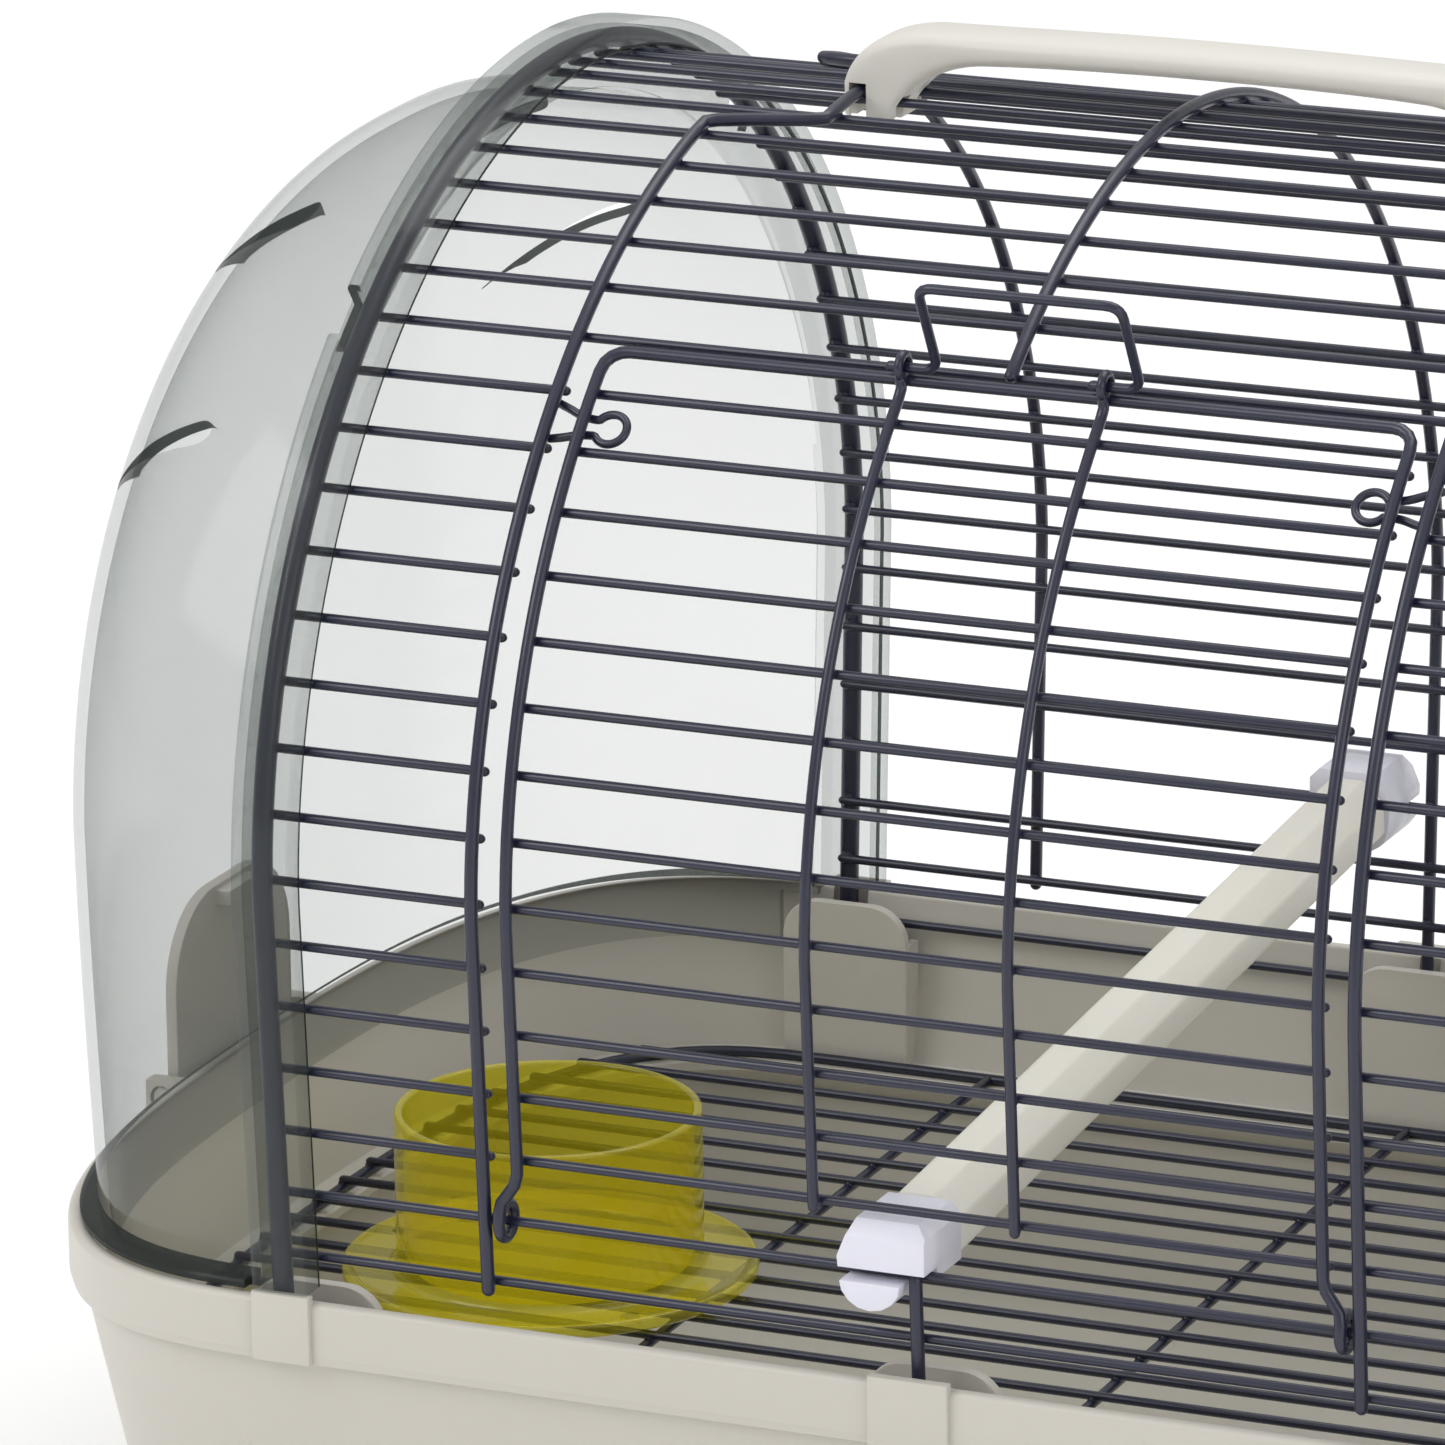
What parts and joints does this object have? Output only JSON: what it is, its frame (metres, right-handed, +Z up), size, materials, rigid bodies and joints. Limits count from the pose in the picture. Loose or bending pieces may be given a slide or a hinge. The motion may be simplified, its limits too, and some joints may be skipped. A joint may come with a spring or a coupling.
{
  "type": "small pet carry cage",
  "caption": "Small-pet carry cage with a wire barrel vault, see-through end domes with vents, a deep tray, a carry handle and a drop-down wire door.",
  "frame": {"origin": "middle of the tray's flat underside", "axes": "+X along the cage from the cup's end to the other end, -Y towards the door, +Z up"},
  "size_m": [0.4218, 0.2898, 0.3027],
  "materials": {
    "tray_plastic": "warm light grey, moulded, faint gloss",
    "coated_wire": "dark navy coating on steel wire, half gloss",
    "smoke_plastic": "see-through smoke grey, polished",
    "handle_plastic": "beige, moulded, soft gloss",
    "perch_plastic": "cream, moulded",
    "clip_plastic": "white, moulded",
    "cup_plastic": "yellow, translucent, polished"
  },
  "bodies": {
    "base": {"tray": "tray_plastic", "floor_grid": "coated_wire"},
    "cage_top": {"wire_barrel": "coated_wire", "dome_left": "smoke_plastic", "dome_right": "smoke_plastic", "door_catch_left": "coated_wire", "door_catch_right": "coated_wire", "carry_handle": "handle_plastic", "perch_bar": "perch_plastic", "perch_clip_front": "clip_plastic", "perch_clip_back": "clip_plastic"},
    "door_panel": {"door": "coated_wire"},
    "bail": {"door_bail": "coated_wire"},
    "clip_left": {"end_clip_left": "tray_plastic"},
    "clip_right": {"end_clip_right": "tray_plastic"},
    "cup": {"feeder_cup": "cup_plastic"}
  },
  "joints": [
    {"name": "top_lift", "type": "slide", "parent": "base", "child": "cage_top", "axis": [0, 0, 1], "range_m": [0, 0.15]},
    {"name": "door_hinge", "type": "hinge", "parent": "cage_top", "child": "door_panel", "pos_m": [0, -0.13443, 0.09998], "axis": [1, 0, 0], "range_deg": [0, 135]},
    {"name": "bail_swing", "type": "hinge", "parent": "door_panel", "child": "bail", "pos_m": [0, -0.09124, 0.25987], "axis": [1, 0, 0], "range_deg": [-50, 95]},
    {"name": "clip_left_swing", "type": "hinge", "parent": "base", "child": "clip_left", "pos_m": [-0.2075, 0, 0.0765], "axis": [0, -1, 0], "range_deg": [0, 95]},
    {"name": "clip_right_swing", "type": "hinge", "parent": "base", "child": "clip_right", "pos_m": [0.2075, 0, 0.0765], "axis": [0, 1, 0], "range_deg": [0, 95]},
    {"name": "cup_lift", "type": "slide", "parent": "base", "child": "cup", "axis": [0, 0, 1], "range_m": [0, 0.06]}
  ]
}
